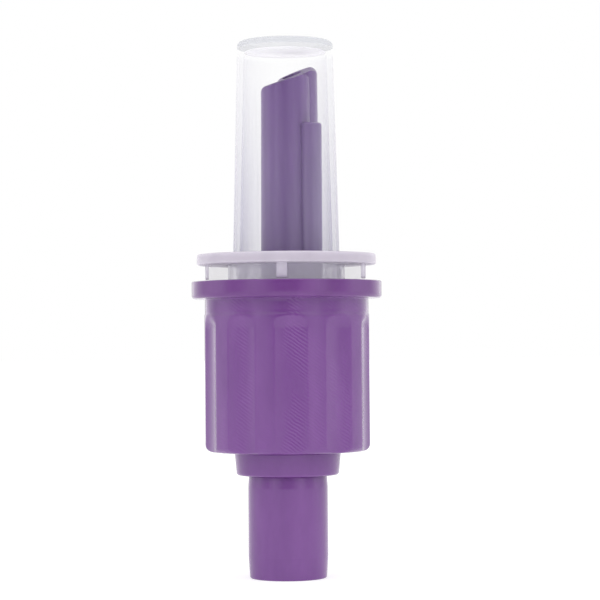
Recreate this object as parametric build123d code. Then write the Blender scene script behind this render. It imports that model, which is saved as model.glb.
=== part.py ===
from build123d import *
import math
import os

# Screw-on piercing connector for an enteral feed container, standing spike up.
# Millimetres, +Z up along the spike, origin at the centre of the tube socket's mouth face.

# Heights of the main steps, from the bottom up
SOCKET_TOP_Z = 10.25
RING_TOP_Z = 12.5
COLLAR_BOTTOM_Z = 12.6
CUP_FLOOR_Z = 15.0
RIM_BOTTOM_Z = 27.85
RIM_TOP_Z = 29.55
COVER_FLANGE_BOTTOM_Z = 31.2
COVER_FLANGE_TOP_Z = 32.25
COVER_TOP_Z = 53.6

# Tube socket
SOCKET_FOOT_R = 3.84
SOCKET_R = 3.98
SOCKET_NECK_R = 3.90
SOCKET_FLARE_Z = 2.2
SOCKET_BORE_R = 2.75
SOCKET_BORE_DEPTH = 8.0
LUMEN_R = 1.5
SPIGOT_R = 3.0
SPIGOT_TOP_Z = 14.0

# Retaining ring
RING_BOTTOM_R = 5.11
RING_TOP_R = 5.32

# Grip collar
GRIP_R = 8.23
BAND_R = 8.17
BAND_BOTTOM_Z = 26.2
RIM_R = 9.48
CUP_BORE_R = 6.95
FLUTE_COUNT = 10
FLUTE_FIRST_ANGLE = -87.0
FLUTE_CUTTER_R = 6.8
FLUTE_DEPTH = 0.35
FLUTE_RUN_OUT_Z = 25.25
FLUTE_RUN_OUT_SLOPE = 0.54
THREAD_CREST_R = 6.4
THREAD_PITCH = 3.0
THREAD_BOTTOM_Z = 19.5
THREAD_RISE = 7.2
THREAD_ROOT_WIDTH = 1.5
THREAD_CREST_WIDTH = 0.6

# Spike hub
JOURNAL_R = 4.0
JOURNAL_CLEARANCE = 0.06
HUB_FLANGE_R = 6.6
HUB_FLANGE_TOP_Z = 17.6
BOSS_R = 4.95
BOSS_TOP_Z = 22.0
CHAMBER_TOP_Z = 16.2
MAIN_TUBE_R = 2.44
FLUID_BORE_R = 1.2
FLUID_BORE_AT = (-0.35, -0.6)
AIR_TUBE_R = 2.07
AIR_TUBE_AT = (1.17, 1.5)
AIR_BORE_R = 1.0
AIR_BORE_AT = (0.7, 1.85)
AIR_BORE_BOTTOM_Z = 16.4
RIB_R = 1.13
RIB_AT = (2.48, -1.3)
RIB_TOP_Z = 45.3
TIP_ROUNDING = 0.7
SPIKE_DRAFT = 0.006
MAIN_TIP_Z = (48.98, 50.58)
MAIN_BACK_SLOPE = 0.15
AIR_TIP_Z = (49.78, 51.33)
AIR_BACK_SLOPE = 0.25

# Air inlet groove, filter and retainer under the hub's flange
GROOVE_INNER_R = 4.4
GROOVE_OUTER_R = 6.25
GROOVE_TOP_Z = 16.2
CHANNEL_WIDTH = 1.2
CHANNEL_TOP_Z = 16.9
FILTER_CLEARANCE = 0.03
FILTER_THICKNESS = 0.2
RETAINER_THICKNESS = 0.6
RETAINER_SLOT_COUNT = 6

# Mouth seal
SEAL_CLEARANCE = 0.05
SEAL_THICKNESS = 0.8

# Spike cover
COVER_BASE_R = 5.31
COVER_TIP_R = 4.78
COVER_WALL = 0.65
COVER_END = 1.0
COVER_FLANGE_R = 8.94
PLUG_R = 5.85
PLUG_BORE_R = 5.02
PLUG_BOTTOM_Z = 19.0
WEB_COUNT = 5
WEB_FIRST_ANGLE = -92.9
WEB_OUTER_R = 8.25
WEB_WIDTH = 1.15
WEB_BOTTOM_Z = 29.66


def turned(corners):
    """Revolve about Z the closed outline of (radius, height, corner rounding) corners."""
    outline = make_face(Polyline(*[(r, z) for r, z, _ in corners], close=True)).face()
    for r, z, rounding in corners:
        if rounding > 0:
            corner = outline.vertices().sort_by_distance((r, z, 0))[0]
            outline = outline.fillet_2d(rounding, [corner])
    return revolve(Plane.XZ * outline, Axis.Z)


def post(at, radius, bottom, top):
    """An upright round bar or bore at a place in plan, from one height to another."""
    return Pos(at[0], at[1], bottom) * Cylinder(
        radius, top - bottom, align=(Align.CENTER, Align.CENTER, Align.MIN)
    )


def tube_socket():
    """Slightly barrelled socket: a tubing bore below, the feed lumen and a spigot above."""
    return turned([
        (SOCKET_BORE_R, 0, 0),
        (SOCKET_FOOT_R, 0, 0.2),
        (SOCKET_R, SOCKET_FLARE_Z, 1.5),
        (SOCKET_R, SOCKET_TOP_Z - 1.2, 1.5),
        (SOCKET_NECK_R, SOCKET_TOP_Z, 0.12),
        (SPIGOT_R, SOCKET_TOP_Z, 0),
        (SPIGOT_R, SPIGOT_TOP_Z, 0.2),
        (LUMEN_R, SPIGOT_TOP_Z, 0),
        (LUMEN_R, SOCKET_BORE_DEPTH, 0),
        (SOCKET_BORE_R, SOCKET_BORE_DEPTH, 0),
    ])


def retaining_ring():
    """Tapered ring fixed on the lower end of the hub's journal."""
    return turned([
        (JOURNAL_R, SOCKET_TOP_Z, 0),
        (RING_BOTTOM_R, SOCKET_TOP_Z, 0.3),
        (RING_TOP_R, RING_TOP_Z, 0.08),
        (JOURNAL_R, RING_TOP_Z, 0),
    ])


def flute_cutter():
    """Round bar that cuts one hollow flute, with a cone on top that runs it out."""
    axis_r = GRIP_R + FLUTE_CUTTER_R - FLUTE_DEPTH
    start_z = COLLAR_BOTTOM_Z - 1.0
    cone_height = 2 * FLUTE_DEPTH / FLUTE_RUN_OUT_SLOPE
    bar = post((axis_r, 0), FLUTE_CUTTER_R, start_z, FLUTE_RUN_OUT_Z)
    tip = Pos(axis_r, 0, FLUTE_RUN_OUT_Z) * Cone(
        FLUTE_CUTTER_R, FLUTE_CUTTER_R - 2 * FLUTE_DEPTH, cone_height,
        align=(Align.CENTER, Align.CENTER, Align.MIN),
    )
    return bar + tip


def thread_ridge():
    """Inside thread: a trapezoid section carried up a helix on the cup's wall."""
    root_r = CUP_BORE_R + 0.15
    path = Helix(THREAD_PITCH, THREAD_RISE, root_r)
    section = Plane(path @ 0, x_dir=(1, 0, 0), z_dir=path % 0) * make_face(Polyline(
        (0, -THREAD_ROOT_WIDTH / 2),
        (THREAD_CREST_R - root_r, -THREAD_CREST_WIDTH / 2),
        (THREAD_CREST_R - root_r, THREAD_CREST_WIDTH / 2),
        (0, THREAD_ROOT_WIDTH / 2),
        close=True,
    ))
    return Pos(0, 0, THREAD_BOTTOM_Z) * sweep(section, path, is_frenet=True)


def grip_collar():
    """Fluted cup with a rim flange, an inside thread and a floor that turns on the journal."""
    cup = turned([
        (JOURNAL_R + JOURNAL_CLEARANCE, COLLAR_BOTTOM_Z, 0),
        (GRIP_R, COLLAR_BOTTOM_Z, 0.7),
        (GRIP_R, BAND_BOTTOM_Z, 0),
        (BAND_R, BAND_BOTTOM_Z + 0.1, 0),
        (BAND_R, RIM_BOTTOM_Z, 0.1),
        (RIM_R, RIM_BOTTOM_Z, 0.25),
        (RIM_R, RIM_TOP_Z, 0.12),
        (CUP_BORE_R, RIM_TOP_Z, 0.2),
        (CUP_BORE_R, CUP_FLOOR_Z, 0.3),
        (JOURNAL_R + JOURNAL_CLEARANCE, CUP_FLOOR_Z, 0),
    ])
    pitch_angle = 360 / FLUTE_COUNT
    cutters = [
        Rot(0, 0, FLUTE_FIRST_ANGLE + i * pitch_angle) * flute_cutter() for i in range(FLUTE_COUNT)
    ]
    return cup - cutters + thread_ridge()


def bevelled_bar(at, radius, tip_z, back_slope):
    """Upright tapered bar whose slanted top rises to the right and to the back, with round corners."""
    x, y = at
    bottom = BOSS_TOP_Z - 1
    left_z, right_z = tip_z
    outline = make_face(Polyline(
        (x - radius - 1, bottom),
        (x + radius + 1, bottom),
        (x + radius, right_z),
        (x - radius, left_z),
        close=True,
    )).face()
    top_corners = outline.vertices().sort_by(Axis.Y)[-2:]
    outline = outline.fillet_2d(TIP_ROUNDING, top_corners)
    slab = extrude(
        Pos(0, y, 0) * (Plane.XZ * outline), amount=radius * 1.4, dir=(0, -1, -back_slope), both=True
    )
    bar = Pos(x, y, bottom) * Cone(
        radius + SPIKE_DRAFT * (left_z - bottom), radius - SPIKE_DRAFT * (COVER_TOP_Z - left_z),
        COVER_TOP_Z - bottom, align=(Align.CENTER, Align.CENTER, Align.MIN),
    )
    return bar & slab


def spike():
    """Main fluid tube, air tube behind it and a short rib tube beside them."""
    main_tube = bevelled_bar((0, 0), MAIN_TUBE_R, MAIN_TIP_Z, MAIN_BACK_SLOPE)
    air_tube = bevelled_bar(AIR_TUBE_AT, AIR_TUBE_R, AIR_TIP_Z, AIR_BACK_SLOPE)
    rib = post(RIB_AT, RIB_R, BOSS_TOP_Z - 1, RIB_TOP_Z)
    rib = fillet(rib.edges().sort_by(Axis.Z)[-1], 0.25)
    return main_tube + air_tube + rib


def air_path():
    """Air channel: the spike's bore, a side channel and the groove under the flange."""
    angle = math.degrees(math.atan2(AIR_BORE_AT[1], AIR_BORE_AT[0]))
    start_r = math.hypot(*AIR_BORE_AT)
    middle_r = (GROOVE_INNER_R + GROOVE_OUTER_R) / 2
    channel = Rot(0, 0, angle) * Pos(start_r, 0, GROOVE_TOP_Z - 0.1) * Box(
        middle_r - start_r, CHANNEL_WIDTH, CHANNEL_TOP_Z - GROOVE_TOP_Z + 0.1,
        align=(Align.MIN, Align.CENTER, Align.MIN),
    )
    groove = turned([
        (GROOVE_INNER_R, CUP_FLOOR_Z - 1, 0),
        (GROOVE_OUTER_R, CUP_FLOOR_Z - 1, 0),
        (GROOVE_OUTER_R, GROOVE_TOP_Z, 0),
        (GROOVE_INNER_R, GROOVE_TOP_Z, 0),
    ])
    return [post(AIR_BORE_AT, AIR_BORE_R, AIR_BORE_BOTTOM_Z, COVER_TOP_Z), channel, groove]


def spike_hub():
    """Journal, flange and boss in one piece with the spike, with its feed and air channels."""
    base = turned([
        (SPIGOT_R, SOCKET_TOP_Z, 0),
        (JOURNAL_R, SOCKET_TOP_Z, 0),
        (JOURNAL_R, CUP_FLOOR_Z + JOURNAL_CLEARANCE, 0),
        (HUB_FLANGE_R, CUP_FLOOR_Z + JOURNAL_CLEARANCE, 0.15),
        (HUB_FLANGE_R, HUB_FLANGE_TOP_Z, 0.15),
        (BOSS_R, HUB_FLANGE_TOP_Z, 0),
        (BOSS_R, BOSS_TOP_Z, 0.5),
        (0, BOSS_TOP_Z, 0),
        (0, SPIGOT_TOP_Z, 0),
        (SPIGOT_R, SPIGOT_TOP_Z, 0),
    ])
    chamber = post((0, 0), LUMEN_R, SPIGOT_TOP_Z - 1, CHAMBER_TOP_Z)
    fluid_bore = post(FLUID_BORE_AT, FLUID_BORE_R, CHAMBER_TOP_Z - 1, COVER_TOP_Z)
    return base + spike() - [chamber, fluid_bore] - air_path()


def mouth_seal():
    """Soft washer on the hub's flange, under the container's mouth."""
    inner_r = BOSS_R + SEAL_CLEARANCE
    return turned([
        (inner_r, HUB_FLANGE_TOP_Z, 0),
        (HUB_FLANGE_R - 0.1, HUB_FLANGE_TOP_Z, 0),
        (HUB_FLANGE_R - 0.1, HUB_FLANGE_TOP_Z + SEAL_THICKNESS, 0.2),
        (inner_r, HUB_FLANGE_TOP_Z + SEAL_THICKNESS, 0.2),
    ])


def groove_ring(bottom, top):
    """Flat ring that fits the air groove, from one height to another."""
    return turned([
        (GROOVE_INNER_R + FILTER_CLEARANCE, bottom, 0),
        (GROOVE_OUTER_R - FILTER_CLEARANCE, bottom, 0),
        (GROOVE_OUTER_R - FILTER_CLEARANCE, top, 0),
        (GROOVE_INNER_R + FILTER_CLEARANCE, top, 0),
    ])


def air_filter():
    """Thin membrane ring at the top of the air groove."""
    return groove_ring(GROOVE_TOP_Z - FILTER_THICKNESS, GROOVE_TOP_Z)


def filter_retainer():
    """Ring with air slots that holds the membrane in its groove."""
    top = GROOVE_TOP_Z - FILTER_THICKNESS
    ring = groove_ring(top - RETAINER_THICKNESS, top)
    slot = Pos(GROOVE_INNER_R + 0.9, 0, top - RETAINER_THICKNESS) * extrude(
        SlotCenterToCenter(1.2, 0.7, rotation=90), amount=RETAINER_THICKNESS
    )
    slots = [Rot(0, 0, i * 360 / RETAINER_SLOT_COUNT) * slot for i in range(RETAINER_SLOT_COUNT)]
    return ring - slots


def cover_web():
    """One upright stand-off web between the plug tube and the cover's flange."""
    inner_r = PLUG_R - 0.3
    web = Pos(inner_r, 0, WEB_BOTTOM_Z) * Box(
        WEB_OUTER_R - inner_r, WEB_WIDTH, COVER_FLANGE_BOTTOM_Z + 0.2 - WEB_BOTTOM_Z,
        align=(Align.MIN, Align.CENTER, Align.MIN),
    )
    long_edges = web.edges().filter_by(Axis.X).sort_by(Axis.Z)[:2]
    return fillet(long_edges, 0.3)


def spike_cover():
    """Closed tapered tube on a flange, with a plug tube and stand-off webs below."""
    taper = (COVER_BASE_R - COVER_TIP_R) / (COVER_TOP_Z - COVER_FLANGE_TOP_Z)
    inside_top_z = COVER_TOP_Z - COVER_END
    inside_tip_r = COVER_TIP_R - COVER_WALL + taper * COVER_END
    shell = turned([
        (0, COVER_TOP_Z, 0),
        (COVER_TIP_R, COVER_TOP_Z, 0.45),
        (COVER_BASE_R, COVER_FLANGE_TOP_Z, 0.25),
        (COVER_FLANGE_R, COVER_FLANGE_TOP_Z, 0.15),
        (COVER_FLANGE_R, COVER_FLANGE_BOTTOM_Z, 0.15),
        (PLUG_R, COVER_FLANGE_BOTTOM_Z, 0.15),
        (PLUG_R, PLUG_BOTTOM_Z, 0.15),
        (PLUG_BORE_R, PLUG_BOTTOM_Z, 0.15),
        (PLUG_BORE_R, COVER_FLANGE_BOTTOM_Z, 0.2),
        (COVER_BASE_R - COVER_WALL, COVER_FLANGE_TOP_Z, 0.2),
        (inside_tip_r, inside_top_z, 0.3),
        (0, inside_top_z, 0),
    ])
    webs = [Rot(0, 0, WEB_FIRST_ANGLE + i * 360 / WEB_COUNT) * cover_web() for i in range(WEB_COUNT)]
    return shell + webs


def write_parts():
    """Write each piece to its own STEP file."""
    os.makedirs("parts", exist_ok=True)
    for make in (
        tube_socket, retaining_ring, grip_collar, spike_hub, mouth_seal, air_filter, filter_retainer,
        spike_cover,
    ):
        export_step(make(), "parts/" + make.__name__ + ".step")


write_parts()
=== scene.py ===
import math

import bmesh
import bpy
import numpy as np
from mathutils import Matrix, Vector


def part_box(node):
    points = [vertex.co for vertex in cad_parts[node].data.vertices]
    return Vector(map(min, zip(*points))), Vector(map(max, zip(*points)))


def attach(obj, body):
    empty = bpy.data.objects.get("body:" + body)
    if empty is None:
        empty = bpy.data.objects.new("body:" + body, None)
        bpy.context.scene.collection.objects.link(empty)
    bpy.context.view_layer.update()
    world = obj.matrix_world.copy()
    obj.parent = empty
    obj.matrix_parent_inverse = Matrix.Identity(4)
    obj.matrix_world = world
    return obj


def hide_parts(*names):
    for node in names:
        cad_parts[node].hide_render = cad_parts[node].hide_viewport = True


# A screw-on piercing connector for enteral feed containers: purple moulded polypropylene
# under a frosted polypropylene spike cover. Lengths are in metres, worked out from the frame.

MM = 0.001

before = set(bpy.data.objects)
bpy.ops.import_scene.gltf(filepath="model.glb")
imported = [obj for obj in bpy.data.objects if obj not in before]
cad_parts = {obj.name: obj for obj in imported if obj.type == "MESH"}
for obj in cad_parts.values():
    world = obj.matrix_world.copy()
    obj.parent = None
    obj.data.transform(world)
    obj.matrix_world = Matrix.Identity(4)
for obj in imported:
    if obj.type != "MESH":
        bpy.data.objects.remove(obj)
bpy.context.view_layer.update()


# ---------------------------------------------------------------- outlines and surfaces

def rounded_outline(corners, spacing=0.4 * MM, steps=6):
    """Points (radius, height) along straight sides joined by arcs.

    Each corner is (radius, height, rounding). The arc's centre lies on the corner's
    bisector at rounding / sin(half the angle), and it touches each side at
    rounding / tan(half the angle) from the corner. Straight sides get a point at least
    every spacing.
    """
    corners = [(np.array(c[:2], float), c[2]) for c in corners]
    knots = []
    for i, (here, rounding) in enumerate(corners):
        if rounding == 0 or i in (0, len(corners) - 1):
            knots.append(here[None])
            continue
        to_last = corners[i - 1][0] - here
        to_next = corners[i + 1][0] - here
        to_last /= np.linalg.norm(to_last)
        to_next /= np.linalg.norm(to_next)
        half = math.acos(np.clip(to_last @ to_next, -1, 1)) / 2
        bisector = (to_last + to_next) / np.linalg.norm(to_last + to_next)
        centre = here + bisector * rounding / math.sin(half)
        start = here + to_last * rounding / math.tan(half) - centre
        end = here + to_next * rounding / math.tan(half) - centre
        sweep = math.pi - 2 * half
        share = np.linspace(0, 1, steps + 1)[:, None]
        arc = (np.sin((1 - share) * sweep) * start + np.sin(share * sweep) * end) / math.sin(sweep)
        knots.append(centre + arc)
    knots = np.concatenate(knots)
    points = [knots[:1]]
    for a, b in zip(knots[:-1], knots[1:]):
        count = max(1, math.ceil(np.linalg.norm(b - a) / spacing))
        points.append(a + (b - a) * np.linspace(0, 1, count + 1)[1:, None])
    return np.concatenate(points)


def closed_outline(corners, **settings):
    """The same, for an outline that comes back to its first corner, which is left sharp."""
    return rounded_outline(corners + corners[:1], **settings)[:-1]


def grid_faces(rows, columns, loop):
    """Quads between neighbouring rows of a grid whose columns wrap, and whose rows do if loop."""
    row = np.arange(rows if loop else rows - 1)[:, None]
    column = np.arange(columns)[None]
    below = (row + 1) % rows
    beside = (column + 1) % columns
    corners = [
        row * columns + column, row * columns + beside,
        below * columns + beside, below * columns + column,
    ]
    return np.stack([np.broadcast_to(c, (len(row), columns)) for c in corners], -1).reshape(-1, 4)


def mesh_piece(name, vertices, faces, triangles=None):
    """A smooth-shaded object from arrays, its faces turned so that its volume is positive."""
    polygons = [faces]
    if triangles is not None:
        polygons.append(triangles)
    volume = 0.0
    for group in polygons:
        first = vertices[group[:, 0]]
        for k in range(1, group.shape[1] - 1):
            volume += np.einsum(
                "ij,ij->", first, np.cross(vertices[group[:, k]], vertices[group[:, k + 1]])
            )
    if volume < 0:
        polygons = [group[:, ::-1] for group in polygons]
    mesh = bpy.data.meshes.new(name)
    mesh.from_pydata(vertices.tolist(), [], [f for group in polygons for f in group.tolist()])
    mesh.polygons.foreach_set("use_smooth", np.ones(len(mesh.polygons), bool))
    mesh.update()
    piece = bpy.data.objects.new(name, mesh)
    bpy.context.scene.collection.objects.link(piece)
    return piece


def turned_points(outline, columns, radius_at=None):
    """An outline carried round Z: (r cos t, r sin t, z), where r may depend on r, z and t."""
    turn = np.arange(columns) * 2 * math.pi / columns
    r, z = outline[:, :1], outline[:, 1:]
    radius = r * np.ones(columns) if radius_at is None else radius_at(r, z, turn)
    return np.stack([radius * np.cos(turn), radius * np.sin(turn), z * np.ones(columns)], -1)


def turned_ring(name, outline, columns, radius_at=None):
    """A closed outline carried round Z, which makes a ring or a tube."""
    points = turned_points(outline, columns, radius_at)
    return mesh_piece(name, points.reshape(-1, 3), grid_faces(len(outline), columns, True))


def turned_shell(name, outline, columns):
    """An outline that starts and ends on the axis, carried round Z, with a fan at each end."""
    points = turned_points(outline[1:-1], columns)
    rows = len(points)
    ends = np.array([[0, 0, outline[0, 1]], [0, 0, outline[-1, 1]]])
    vertices = np.concatenate([points.reshape(-1, 3), ends])
    ring = np.arange(columns)
    beside = (ring + 1) % columns
    first_end = np.full(columns, rows * columns)
    last = (rows - 1) * columns
    fans = np.concatenate([
        np.stack([first_end, beside, ring], -1),
        np.stack([first_end + 1, last + ring, last + beside], -1),
    ])
    return mesh_piece(name, vertices, grid_faces(rows, columns, False), fans)


# ---------------------------------------------------------------- sizes from the frame

def sizes(node):
    """Bottom height, top height and outer radius of a round node."""
    low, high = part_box(node)
    return low[2], high[2], high[0]


# ---------------------------------------------------------------- materials

# Each set of shades is dark, middle and light.
PURPLE = ("#6D4084", "#73458A", "#794A90")
# Painted shade: a deeper purple for the grip collar's thick rim.
RIM_SHADED_PURPLE = ("#653779", "#6A3B7F", "#704084")
# Painted shade: the spike's purple is darker than the collar's, for the light the cover keeps off it.
SPIKE_SHADED_PURPLE = ("#5E3F7A", "#63437F", "#684784")
WAVE_PERIOD = 0.314  # a wave texture at scale 1 repeats at this distance


def srgb(code):
    """Linear RGBA of an sRGB hex colour."""
    parts = [int(code[i:i + 2], 16) / 255 for i in (1, 3, 5)]
    return [p / 12.92 if p <= 0.04045 else ((p + 0.055) / 1.055) ** 2.4 for p in parts] + [1.0]


def add(tree, kind, inputs=None, **settings):
    """Adds a node. An input is a value, or the socket that feeds it."""
    made = tree.nodes.new(kind)
    for key, value in settings.items():
        setattr(made, key, value)
    for key, value in (inputs or {}).items():
        if isinstance(value, bpy.types.NodeSocket):
            tree.links.new(value, made.inputs[key])
        else:
            made.inputs[key].default_value = value
    return made


def new_material(name):
    """An empty material with its node tree, its output node and Object coordinates."""
    made = bpy.data.materials.new(name)
    made.use_nodes = True
    tree = made.node_tree
    tree.nodes.clear()
    output = add(tree, "ShaderNodeOutputMaterial")
    place = add(tree, "ShaderNodeTexCoord").outputs["Object"]
    return made, tree, output, place


def linear_ramp(tree, factor, stops):
    """A colour ramp of rising (position, linear RGBA) stops."""
    made = add(tree, "ShaderNodeValToRGB", {"Fac": factor})
    elements = made.color_ramp.elements
    for position, _ in stops[1:-1]:
        elements.new(position)
    elements[0].position = stops[0][0]
    elements[-1].position = stops[-1][0]
    for element, (_, colour) in zip(elements, stops):
        element.color = colour
    return made.outputs["Color"]


def ramp(tree, factor, stops):
    """A colour ramp of rising (position, hex colour) stops."""
    return linear_ramp(tree, factor, [(position, srgb(code)) for position, code in stops])


def smooth_step(tree, value, start, end):
    """A share that rises smoothly from 0 at start to 1 at end."""
    return add(tree, "ShaderNodeMapRange", {
        "Value": value, "From Min": start, "From Max": end,
    }, interpolation_type="SMOOTHSTEP").outputs["Result"]


def blend_values(tree, share, low, high):
    """A number that goes from low to high with the share."""
    return add(tree, "ShaderNodeMix", {0: share, 2: low, 3: high}, data_type="FLOAT").outputs[0]


def blend_colours(tree, share, low, high):
    """A colour that goes from low to high with the share."""
    return add(tree, "ShaderNodeMix", {0: share, 6: low, 7: high}, data_type="RGBA").outputs[2]


def off_axis(tree, place):
    """Distance from the part's upright axis."""
    flat = add(tree, "ShaderNodeMapping", {"Vector": place, "Scale": (1.0, 1.0, 0.0)})
    return add(tree, "ShaderNodeVectorMath", {
        0: flat.outputs["Vector"],
    }, operation="LENGTH").outputs["Value"]


def cloudy(tree, cloud, shades):
    """Three shades that a cloud noise blends into each other."""
    return ramp(tree, cloud, list(zip((0.30, 0.52, 0.74), shades)))


def moulded_polypropylene(name, shades, roughness=0.2, ripple=0.0, rim_bottom=1.0):
    """Purple injection-moulded polypropylene: pigment swirls, fine grain and flow ripples.

    The eye sees an even glossy-satin colour with soft cloudy changes a few millimetres
    across, a faint orange peel from the mould's steel, and patches of fine slanted ripples
    0.3 mm apart where the melt stuck and slipped. Above the height rim_bottom the thick rim
    is painted a deeper purple, a painted shade, and it has no ripples.
    """
    ripple_spacing, ripple_slant = 0.3 * MM, math.radians(-35)
    rim_edge = 0.05 * MM
    made, tree, output, place = new_material(name)
    flow = add(tree, "ShaderNodeMapping", {"Vector": place, "Scale": (1.0, 1.0, 0.35)})
    cloud = add(tree, "ShaderNodeTexNoise", {
        "Vector": flow.outputs["Vector"], "Scale": 1 / (3.0 * MM), "Detail": 4.0, "Roughness": 0.55,
    }).outputs["Fac"]
    height = add(tree, "ShaderNodeSeparateXYZ", {"Vector": place}).outputs["Z"]
    below_rim = smooth_step(tree, height, rim_bottom + rim_edge, rim_bottom - rim_edge)
    # Painted shade: above rim_bottom the colour goes over to the deeper rim purple.
    colour = blend_colours(tree, below_rim, cloudy(tree, cloud, RIM_SHADED_PURPLE), cloudy(tree, cloud, shades))
    grain = add(tree, "ShaderNodeTexNoise", {
        "Vector": place, "Scale": 1 / (0.3 * MM), "Detail": 2.0, "Roughness": 0.5,
    }).outputs["Fac"]
    rough = add(tree, "ShaderNodeMapRange", {
        "Value": grain, "From Min": 0.3, "From Max": 0.7,
        "To Min": roughness - 0.04, "To Max": roughness + 0.04,
    })
    slanted = add(tree, "ShaderNodeMapping", {"Vector": place, "Rotation": (0.0, ripple_slant, 0.0)})
    waves = add(tree, "ShaderNodeTexWave", {
        "Vector": slanted.outputs["Vector"], "Scale": WAVE_PERIOD / ripple_spacing, "Distortion": 4.0,
        "Detail": 2.0, "Detail Scale": 0.6,
    }, bands_direction="Z")
    patches = add(tree, "ShaderNodeMapRange", {
        "Value": cloud, "From Min": 0.45, "From Max": 0.6, "To Min": 0.0, "To Max": ripple,
    })
    stick = add(tree, "ShaderNodeMath", {
        0: waves.outputs["Fac"], 1: patches.outputs["Result"],
    }, operation="MULTIPLY")
    stick = add(tree, "ShaderNodeMath", {0: stick.outputs[0], 1: below_rim}, operation="MULTIPLY")
    relief = add(tree, "ShaderNodeMath", {
        0: grain, 1: 0.25, 2: stick.outputs[0],
    }, operation="MULTIPLY_ADD")
    bump = add(tree, "ShaderNodeBump", {
        "Height": relief.outputs[0], "Strength": 1.0, "Distance": 0.008 * MM,
    })
    shader = add(tree, "ShaderNodeBsdfPrincipled", {
        "Base Color": colour, "Roughness": rough.outputs["Result"], "Normal": bump.outputs["Normal"],
        "IOR": 1.49, "Subsurface Weight": 0.12, "Subsurface Radius": (1.0, 0.45, 1.0),
        "Subsurface Scale": 0.6 * MM,
    })
    tree.links.new(shader.outputs["BSDF"], output.inputs["Surface"])
    return made


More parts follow.
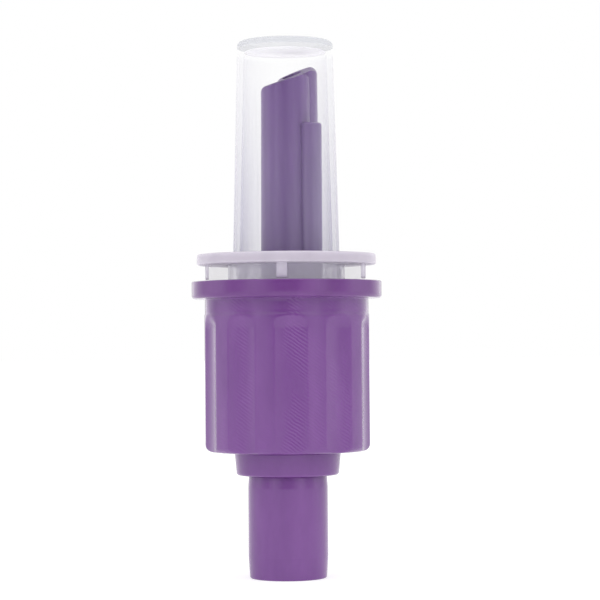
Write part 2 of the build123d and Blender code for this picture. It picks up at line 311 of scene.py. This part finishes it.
def frosted_polypropylene():
    """Natural unpigmented polypropylene, moulded thin: a clear wall with a milky haze.

    Most of the light passes each thin wall unbent, and the haze takes the rest, more of it
    where the wall is seen edge on. The tube wall's colour is painted paler towards the
    closed end and lavender grey near the flange, a painted top light. The plug tube and the
    closed end are thicker and greyer. The closed end's inner face is painted white, painted
    light, and the flange outside the plug's radius is so thick that it hides what is behind
    it; its mauve grey is a painted reflection of the purple rim under it and of the dim
    front. Each share is a smooth step of the height or of the distance from the axis. The
    core pin leaves fine upright draw lines. The parts below the flange's top and the closed
    end's inner face glow faintly and evenly: painted light in their shaded faces, standing
    in for the light that the thick parts lead sideways.
    """
    made, tree, output, place = new_material("frosted_natural_polypropylene")
    height = add(tree, "ShaderNodeSeparateXYZ", {"Vector": place}).outputs["Z"]
    radius = off_axis(tree, place)
    closed_end = sizes("spike_cover")[1] - COVER_END
    up_tube = smooth_step(tree, height, COVER_FLANGE_TOP, closed_end)
    in_end = smooth_step(tree, height, closed_end + 0.25 * MM, closed_end + 0.4 * MM)
    off_wall = smooth_step(tree, radius, END_FACE_R + 0.05 * MM, END_FACE_R - 0.05 * MM)
    near_end = smooth_step(tree, height, closed_end - 0.15 * MM, closed_end - 0.05 * MM)
    under_top = smooth_step(tree, height, closed_end + 0.3 * MM, closed_end + 0.2 * MM)
    inner_face = add(tree, "ShaderNodeMath", {0: off_wall, 1: near_end}, operation="MULTIPLY")
    inner_face = add(tree, "ShaderNodeMath", {
        0: inner_face.outputs[0], 1: under_top,
    }, operation="MULTIPLY").outputs[0]
    below = smooth_step(tree, height, COVER_FLANGE_TOP + 0.1 * MM, COVER_FLANGE_TOP - 0.1 * MM)
    flange = smooth_step(tree, radius, PLUG_R + 0.05 * MM, PLUG_R + 0.2 * MM)

    stretched = add(tree, "ShaderNodeMapping", {"Vector": place, "Scale": (1.0, 1.0, 0.015)})
    draw = add(tree, "ShaderNodeTexNoise", {
        "Vector": stretched.outputs["Vector"], "Scale": 1 / (0.3 * MM), "Detail": 3.0,
    }).outputs["Fac"]
    cloud = add(tree, "ShaderNodeTexNoise", {
        "Vector": place, "Scale": 1 / (2.5 * MM), "Detail": 3.0,
    }).outputs["Fac"]

    # Painted top light: the tube wall is paler towards the closed end, lavender grey near the flange.
    top_lit_wall_colour = blend_colours(tree, up_tube, srgb("#CBC8DC"), srgb("#E0DFEB"))
    colour = blend_colours(tree, in_end, top_lit_wall_colour, srgb("#C6C8D0"))
    colour = blend_colours(tree, below, colour, srgb("#D6D5DD"))
    # Painted light: the closed end's inner face is painted white.
    colour = blend_colours(tree, inner_face, colour, srgb("#FFFFFF"))
    # Painted reflection: the flange's mauve grey stands in for the purple rim under it and the dim front.
    colour = blend_colours(tree, flange, colour, ramp(tree, cloud, [(0.3, "#A59EAB"), (0.7, "#B0A9B5")]))

    edge_on = add(tree, "ShaderNodeLayerWeight", {"Blend": 0.2}).outputs["Facing"]
    edge_haze = blend_values(tree, up_tube, 0.8, 0.3)
    streak_depth = blend_values(tree, up_tube, 1.1, 0.2)
    streaks = add(tree, "ShaderNodeMapRange", {
        "Value": draw, "From Min": 0.3, "From Max": 0.7, "To Min": 0.03, "To Max": 0.08,
    }).outputs["Result"]
    streaks = add(tree, "ShaderNodeMath", {0: streaks, 1: streak_depth}, operation="MULTIPLY").outputs[0]
    haze = add(tree, "ShaderNodeMath", {0: edge_on, 1: edge_haze, 2: streaks}, operation="MULTIPLY_ADD")
    clear_end = smooth_step(tree, height, closed_end - 0.2 * MM, closed_end - 0.7 * MM)
    haze = add(tree, "ShaderNodeMath", {0: haze.outputs[0], 1: clear_end}, operation="MULTIPLY").outputs[0]
    solid = blend_values(tree, in_end, haze, 0.42)
    solid = blend_values(tree, below, solid, 0.42)
    solid = blend_values(tree, flange, solid, 0.96)
    solid = blend_values(tree, inner_face, solid, 0.7)
    # Painted light: a faint even glow below the flange's top and on the closed end's inner face.
    painted_glow = blend_values(tree, below, 0.0, 0.17)
    painted_glow = blend_values(tree, inner_face, painted_glow, 0.15)
    shader = add(tree, "ShaderNodeBsdfPrincipled", {
        "Base Color": colour, "Roughness": 0.35, "IOR": 1.49, "Specular IOR Level": 0.1,
        "Alpha": solid, "Subsurface Weight": below, "Subsurface Radius": (1.0, 1.0, 1.0),
        "Subsurface Scale": 1.5 * MM, "Emission Color": srgb("#F1EDF7"), "Emission Strength": painted_glow,
    })
    tree.links.new(shader.outputs["BSDF"], output.inputs["Surface"])
    return made


def frosted_webs():
    """The same polypropylene in the webs: clear broadside on, milky end on, where it is deep."""
    made, tree, output, place = new_material("thin_frosted_polypropylene")
    cloud = add(tree, "ShaderNodeTexNoise", {"Vector": place, "Scale": 1 / (1.0 * MM), "Detail": 3.0})
    colour = ramp(tree, cloud.outputs["Fac"], [(0.3, "#D2CBDB"), (0.7, "#DCD7E4")])
    outer_face = smooth_step(tree, off_axis(tree, place), WEB_OUTER_R - 0.2 * MM, WEB_OUTER_R - 0.1 * MM)
    solid = blend_values(tree, outer_face, 0.16, 0.8)
    shader = add(tree, "ShaderNodeBsdfPrincipled", {
        "Base Color": colour, "Roughness": 0.3, "IOR": 1.49, "Specular IOR Level": 0.1,
        "Alpha": solid,
    })
    tree.links.new(shader.outputs["BSDF"], output.inputs["Surface"])
    return made


def soft_elastomer():
    """Soft matt elastomer of the mouth seal: pale, dusty and evenly dull."""
    made, tree, output, place = new_material("soft_moulded_elastomer")
    cloud = add(tree, "ShaderNodeTexNoise", {"Vector": place, "Scale": 1 / (0.8 * MM), "Detail": 5.0})
    colour = ramp(tree, cloud.outputs["Fac"], [(0.3, "#CFCFD2"), (0.7, "#DEDDE0")])
    bump = add(tree, "ShaderNodeBump", {
        "Height": cloud.outputs["Fac"], "Strength": 0.3, "Distance": 0.02 * MM,
    })
    shader = add(tree, "ShaderNodeBsdfPrincipled", {
        "Base Color": colour, "Roughness": 0.7, "Normal": bump.outputs["Normal"],
    })
    tree.links.new(shader.outputs["BSDF"], output.inputs["Surface"])
    return made


def filter_membrane():
    """Hydrophobic membrane: white, matt and fibrous."""
    made, tree, output, place = new_material("white_fibrous_membrane")
    fibre = add(tree, "ShaderNodeTexVoronoi", {"Vector": place, "Scale": 1 / (0.2 * MM)})
    colour = ramp(tree, fibre.outputs["Distance"], [(0.0, "#FFFFFF"), (0.6, "#EDEDED")])
    bump = add(tree, "ShaderNodeBump", {
        "Height": fibre.outputs["Distance"], "Strength": 0.5, "Distance": 0.02 * MM,
    })
    shader = add(tree, "ShaderNodeBsdfPrincipled", {
        "Base Color": colour, "Roughness": 0.95, "Normal": bump.outputs["Normal"],
    })
    tree.links.new(shader.outputs["BSDF"], output.inputs["Surface"])
    return made


def give_finish(piece, material):
    """Puts one material in a piece's only slot."""
    piece.data.materials.clear()
    piece.data.materials.append(material)


def finish_node(node, material):
    """Gives a CAD node that stays a better material, in its object's own slots."""
    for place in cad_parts[node].material_slots:
        place.link = "OBJECT"
        place.material = material


# ---------------------------------------------------------------- tube socket and retaining ring

def make_tube_socket():
    """Slightly barrelled socket: narrow at its foot and its neck, with a tubing bore."""
    bottom, top, radius = sizes("tube_socket")
    ring_bottom = sizes("retaining_ring")[0]
    foot_r = radius - 0.14 * MM
    neck_r = radius - 0.08 * MM
    bore_r, bore_depth = 2.75 * MM, 8.0 * MM
    lumen_r, spigot_r = 1.5 * MM, 3.0 * MM
    neck_top = ring_bottom - 0.02 * MM
    outline = closed_outline([
        (lumen_r, top, 0),
        (lumen_r, bore_depth, 0.1 * MM),
        (bore_r, bore_depth, 0.2 * MM),
        (bore_r, bottom, 0.15 * MM),
        (foot_r, bottom, 0.2 * MM),
        (radius, bottom + 2.2 * MM, 1.6 * MM),
        (radius, ring_bottom - 1.2 * MM, 1.6 * MM),
        (neck_r, neck_top, 0.12 * MM),
        (spigot_r, neck_top, 0.05 * MM),
        (spigot_r, top, 0.1 * MM),
    ], steps=8)
    return turned_ring("tube_socket_shell", outline, 192)


def make_retaining_ring():
    """Tapered ring that widens upwards, with a round lower edge."""
    bottom, top, radius = sizes("retaining_ring")
    bottom_r = radius - 0.21 * MM
    bore_r = 4.0 * MM
    outline = closed_outline([
        (bore_r, bottom, 0),
        (bottom_r, bottom, 0.3 * MM),
        (radius, top, 0.08 * MM),
        (bore_r, top, 0),
    ], steps=8)
    return turned_ring("retaining_ring_shell", outline, 256)


# ---------------------------------------------------------------- grip collar

GRIP_R = 8.23 * MM
BAND_R = 8.17 * MM
CUP_R = 6.95 * MM
JOURNAL_HOLE_R = 4.06 * MM
RIM_DEPTH = 1.70 * MM
FLUTES = 10
FIRST_FLUTE = math.radians(-87)
FLUTE_R = 6.8 * MM
FLUTE_DEPTH = 0.35 * MM
RUN_OUT_DROP = 4.3 * MM
RUN_OUT_SLOPE = 0.46
RUN_OUT_LENGTH = 1.5 * MM
FLUTE_EDGE = 0.03 * MM
THREAD_PITCH = 3.0 * MM
THREAD_HEIGHT = 0.55 * MM


def soft_minimum(a, b, blend):
    """The smaller of two arrays, with a round corner of size blend where they cross."""
    share = np.clip(0.5 + (b - a) / (2 * blend), 0, 1)
    return b + (a - b) * share - blend * share * (1 - share)


def fluted_radius(top):
    """Outer radius with hollow flutes.

    A flute is the near side of a round bar of radius c whose axis stands at distance d:
    d cos t - sqrt(c^2 - d^2 sin^2 t) for the angle t from the flute's middle. Above the
    run-out height c shrinks with the slope of a cone, so the flute ends in an arch below
    the rim.
    """
    reach = GRIP_R + FLUTE_R - FLUTE_DEPTH
    run_out = top - RUN_OUT_DROP
    pitch = 2 * math.pi / FLUTES

    def radius_at(r, z, turn):
        off = (turn - FIRST_FLUTE + pitch / 2) % pitch - pitch / 2
        bar = FLUTE_R - np.maximum(0, z - run_out) * RUN_OUT_SLOPE
        inside = np.maximum(bar ** 2 - (reach * np.sin(off)) ** 2, 0)
        cut = reach * np.cos(off) - np.sqrt(inside)
        cut = np.where((inside > 0) & (z < run_out + RUN_OUT_LENGTH), cut, 2 * GRIP_R)
        return soft_minimum(r * np.ones_like(cut), cut, FLUTE_EDGE)

    return radius_at


def threaded_radius(bottom, top):
    """Cup wall radius less a ridge that climbs one pitch a turn and fades at both ends.

    The ridge's height is a trapezoid of the distance from the thread's middle line.
    """
    first, last = bottom + 6.4 * MM, top - 2.2 * MM
    flank, crest, fade = 0.75 * MM, 0.3 * MM, 0.8 * MM

    def radius_at(r, z, turn):
        climb = (z - first - THREAD_PITCH * turn / (2 * math.pi)) % THREAD_PITCH
        off = np.minimum(climb, THREAD_PITCH - climb)
        ridge = np.clip((flank - off) / (flank - crest), 0, 1)
        ends = np.clip((z - first) / fade, 0, 1) * np.clip((last - z) / fade, 0, 1)
        on_wall = np.abs(r - CUP_R) < 0.01 * MM
        return r - np.where(on_wall, THREAD_HEIGHT * ridge * ends, 0)

    return radius_at


def make_grip_collar():
    """Cup with a rim flange: fluted outside, threaded inside, round lower corner."""
    bottom, top, rim_r = sizes("grip_collar")
    rim_bottom = top - RIM_DEPTH
    band_bottom = rim_bottom - 1.65 * MM
    floor = bottom + 2.4 * MM
    outside = rounded_outline([
        (JOURNAL_HOLE_R, bottom, 0),
        (GRIP_R, bottom, 0.7 * MM),
        (GRIP_R, band_bottom, 0),
        (BAND_R, band_bottom + 0.1 * MM, 0),
        (BAND_R, rim_bottom - 0.08 * MM, 0.1 * MM),
        (rim_r, rim_bottom, 0.3 * MM),
        (rim_r, top, 0.12 * MM),
        (CUP_R, top, 0),
    ], spacing=0.35 * MM, steps=8)
    inside = rounded_outline([
        (CUP_R, top, 0),
        (CUP_R, floor, 0),
        (JOURNAL_HOLE_R, floor, 0),
        (JOURNAL_HOLE_R, bottom, 0),
    ], spacing=0.16 * MM)
    columns = 44 * FLUTES
    outer = turned_points(outside, columns, fluted_radius(top))
    inner = turned_points(inside[1:-1], columns, threaded_radius(floor, top))
    points = np.concatenate([outer, inner])
    return mesh_piece("grip_collar_shell", points.reshape(-1, 3), grid_faces(len(points), columns, True))


# ---------------------------------------------------------------- spike cover

COVER_FLANGE_TOP = 32.25 * MM
COVER_FLANGE_BOTTOM = 31.2 * MM
COVER_END = 1.0 * MM
END_FACE_R = 4.45 * MM
PLUG_R = 5.85 * MM
WEB_OUTER_R = 8.25 * MM
WEBS = 5
FIRST_WEB = math.radians(-92.9)


def rounded_block(low, high, rounding, sides=6):
    """Vertices and quads of a block with round edges.

    It is a cube-mapped sphere of the rounding's radius, pulled apart to the block's size:
    a point on face d = +-1 with face coordinates u, v goes to its clamped core point plus
    the rounding along the direction of (d, u, v).
    """
    low, high = np.array(low), np.array(high)
    core_half = (high - low) / 2 - rounding
    step = np.linspace(-1, 1, sides + 1)
    u, v = np.meshgrid(step, step, indexing="ij")
    row, column = np.meshgrid(np.arange(sides), np.arange(sides), indexing="ij")
    corner = row * (sides + 1) + column
    patch = np.stack([corner, corner + sides + 1, corner + sides + 2, corner + 1], -1).reshape(-1, 4)
    vertices, faces = [], []
    for axis in range(3):
        for side in (-1, 1):
            cube = np.zeros((sides + 1, sides + 1, 3))
            cube[..., axis] = side
            cube[..., (axis + 1) % 3] = u * side
            cube[..., (axis + 2) % 3] = v
            direction = cube / np.linalg.norm(cube, axis=-1, keepdims=True)
            faces.append(patch + len(vertices) * (sides + 1) ** 2)
            vertices.append((cube * core_half + direction * rounding).reshape(-1, 3))
    return np.concatenate(vertices) + (low + high) / 2, np.concatenate(faces)


def merge_seams(piece):
    """Joins the doubled points where patches meet, then turns every face outwards."""
    shape = bmesh.new()
    shape.from_mesh(piece.data)
    bmesh.ops.remove_doubles(shape, verts=shape.verts, dist=0.001 * MM)
    bmesh.ops.recalc_face_normals(shape, faces=shape.faces)
    shape.to_mesh(piece.data)
    shape.free()


def make_spike_cover():
    """Closed tapered tube on a flange, with a plug tube below."""
    bottom, top, flange_r = sizes("spike_cover")
    base_r, tip_r, wall, plug_bore_r = 5.31 * MM, 4.78 * MM, 0.65 * MM, 5.02 * MM
    flange_bottom, flange_top = COVER_FLANGE_BOTTOM, COVER_FLANGE_TOP
    taper = (base_r - tip_r) / (top - flange_top)
    outline = rounded_outline([
        (0, top, 0),
        (tip_r, top, 0.45 * MM),
        (base_r, flange_top, 0.25 * MM),
        (flange_r, flange_top, 0.15 * MM),
        (flange_r, flange_bottom, 0.15 * MM),
        (PLUG_R, flange_bottom, 0.15 * MM),
        (PLUG_R, bottom, 0.15 * MM),
        (plug_bore_r, bottom, 0.15 * MM),
        (plug_bore_r, flange_bottom, 0.2 * MM),
        (base_r - wall, flange_top, 0.2 * MM),
        (tip_r - wall + taper * COVER_END, top - COVER_END, 0.3 * MM),
        (0, top - COVER_END, 0),
    ], spacing=0.8 * MM, steps=8)
    return turned_shell("spike_cover_shell", outline, 256)


def make_cover_webs():
    """Stand-off webs: upright round-edged plates from the plug tube out under the flange."""
    width, bottom, rounding = 1.15 * MM, 29.66 * MM, 0.15 * MM
    vertices, faces = [], []
    for i in range(WEBS):
        points, quads = rounded_block(
            (PLUG_R - 0.3 * MM, -width / 2, bottom),
            (WEB_OUTER_R, width / 2, COVER_FLANGE_BOTTOM + 2 * rounding), rounding,
        )
        turn = FIRST_WEB + i * 2 * math.pi / WEBS
        c, s = math.cos(turn), math.sin(turn)
        faces.append(quads + i * len(points))
        vertices.append(points @ np.array([[c, s, 0], [-s, c, 0], [0, 0, 1]]))
    piece = mesh_piece("spike_cover_webs", np.concatenate(vertices), np.concatenate(faces))
    merge_seams(piece)
    return piece


# ---------------------------------------------------------------- the object

purple = moulded_polypropylene("moulded_purple_polypropylene", PURPLE)
grip_purple = moulded_polypropylene(
    "moulded_grip_polypropylene", PURPLE, roughness=0.15, ripple=1.4,
    rim_bottom=sizes("grip_collar")[1] - RIM_DEPTH,
)
# Painted shade: the spike gets the darker purple for the light the cover keeps off it.
spike_purple = moulded_polypropylene("moulded_spike_polypropylene", SPIKE_SHADED_PURPLE, roughness=0.32)
frosted = frosted_polypropylene()

collar = make_grip_collar()
give_finish(collar, grip_purple)
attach(collar, "collar")
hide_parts("grip_collar")

ring = make_retaining_ring()
give_finish(ring, purple)
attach(ring, "connector")
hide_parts("retaining_ring")

socket = make_tube_socket()
give_finish(socket, purple)
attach(socket, "connector")
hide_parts("tube_socket")

cover = make_spike_cover()
give_finish(cover, frosted)
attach(cover, "cover")
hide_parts("spike_cover")

webs = make_cover_webs()
give_finish(webs, frosted_webs())
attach(webs, "cover")

finish_node("spike_hub", spike_purple)
finish_node("mouth_seal", soft_elastomer())
finish_node("air_filter", filter_membrane())
finish_node("filter_retainer", purple)


# ---------------------------------------------------------------- stage, light and camera

def make_floor():
    """Plain pale floor under the part."""
    half = 4.0
    mesh = bpy.data.meshes.new("floor")
    mesh.from_pydata(
        [(-half, -half, 0), (half, -half, 0), (half, half, 0), (-half, half, 0)], [], [(0, 1, 2, 3)]
    )
    floor = bpy.data.objects.new("floor", mesh)
    bpy.context.scene.collection.objects.link(floor)
    made, tree, output, _ = new_material("white_floor")
    shader = add(tree, "ShaderNodeBsdfPrincipled", {
        "Base Color": srgb("#C8C8C8"), "Roughness": 0.9, "Specular IOR Level": 0.0,
        "Emission Color": (1, 1, 1, 1), "Emission Strength": 0.6,
    })
    tree.links.new(shader.outputs["BSDF"], output.inputs["Surface"])
    give_finish(floor, made)


def make_world():
    """White tent round the part, a little stronger in front and overhead.

    What the part mirrors is dim where the lens looks in and bright at the sides: its
    strength follows the heading's angle from the front, through the listed (degrees,
    strength) pairs, and goes over to the bright roof higher up. The backdrop that the
    lens sees, directly or through the cover, is plain white.
    """
    mirrored = [(0, 0.03), (12, 0.06), (30, 1.1), (42, 1.4), (58, 0.5), (72, 0.55), (88, 1.5),
                (104, 1.2), (120, 0.8), (160, 1.6), (170, 0.5), (180, 0.1)]
    brightest, top_gain, roof_strength = 1.6, 0.5, 1.5
    roof_start, roof_full = 0.3, 0.75
    diffuse_mean, diffuse_front = 0.80, 0.25
    world = bpy.data.worlds.new("white_tent")
    bpy.context.scene.world = world
    world.use_nodes = True
    tree = world.node_tree
    tree.nodes.clear()
    direction = add(tree, "ShaderNodeTexCoord").outputs["Generated"]
    parts = add(tree, "ShaderNodeSeparateXYZ", {"Vector": direction})
    front = add(tree, "ShaderNodeMath", {
        0: parts.outputs["Y"], 1: -1.0,
    }, operation="MULTIPLY").outputs[0]
    heading = add(tree, "ShaderNodeMath", {0: parts.outputs["X"], 1: front}, operation="ARCTAN2")
    off_front = add(tree, "ShaderNodeMath", {0: heading.outputs[0]}, operation="ABSOLUTE")
    share = add(tree, "ShaderNodeMath", {0: off_front.outputs[0], 1: math.pi}, operation="DIVIDE")
    lamps = linear_ramp(tree, share.outputs[0], [
        (degrees / 180, [strength / brightest] * 3 + [1.0]) for degrees, strength in mirrored
    ])
    sharp = add(tree, "ShaderNodeMath", {0: lamps, 1: brightest}, operation="MULTIPLY")
    soft = add(tree, "ShaderNodeMath", {
        0: front, 1: diffuse_front, 2: diffuse_mean,
    }, operation="MULTIPLY_ADD")
    path = add(tree, "ShaderNodeLightPath")
    up = add(tree, "ShaderNodeMath", {0: parts.outputs["Z"], 1: 0.0}, operation="MAXIMUM")
    roof = smooth_step(tree, parts.outputs["Z"], roof_start, roof_full)
    sharp = blend_values(tree, roof, sharp.outputs[0], roof_strength)
    tent = blend_values(tree, path.outputs["Is Glossy Ray"], soft.outputs[0], sharp)
    gain = add(tree, "ShaderNodeMath", {0: up.outputs[0], 1: top_gain, 2: 1.0}, operation="MULTIPLY_ADD")
    lit = add(tree, "ShaderNodeMath", {0: tent, 1: gain.outputs[0]}, operation="MULTIPLY")
    seen = add(tree, "ShaderNodeMath", {
        0: path.outputs["Is Camera Ray"], 1: path.outputs["Is Transmission Ray"],
    }, operation="MAXIMUM")
    background = add(tree, "ShaderNodeBackground", {
        "Color": (1, 1, 1, 1), "Strength": blend_values(tree, seen.outputs[0], lit.outputs[0], 1.0),
    })
    output = add(tree, "ShaderNodeOutputWorld")
    tree.links.new(background.outputs["Background"], output.inputs["Surface"])


def make_camera():
    """Long lens level with the grip collar, a little rolled, the part left of centre."""
    distance = 223 * MM
    eye_height = 22.9 * MM
    aside = 1.3 * MM
    camera_data = bpy.data.cameras.new("camera")
    camera = bpy.data.objects.new("camera", camera_data)
    bpy.context.scene.collection.objects.link(camera)
    camera_data.sensor_width = 36.0
    camera_data.lens = 133.8
    camera_data.clip_start = 0.01
    camera_data.clip_end = 20.0
    camera.location = (aside, -distance, eye_height)
    tilt_up = math.radians(1.23)
    roll = math.radians(0.42)
    camera.rotation_euler = (math.pi / 2 + tilt_up, roll, 0)
    bpy.context.scene.camera = camera


make_floor()
make_world()
make_camera()
bpy.context.scene.view_settings.view_transform = "Standard"
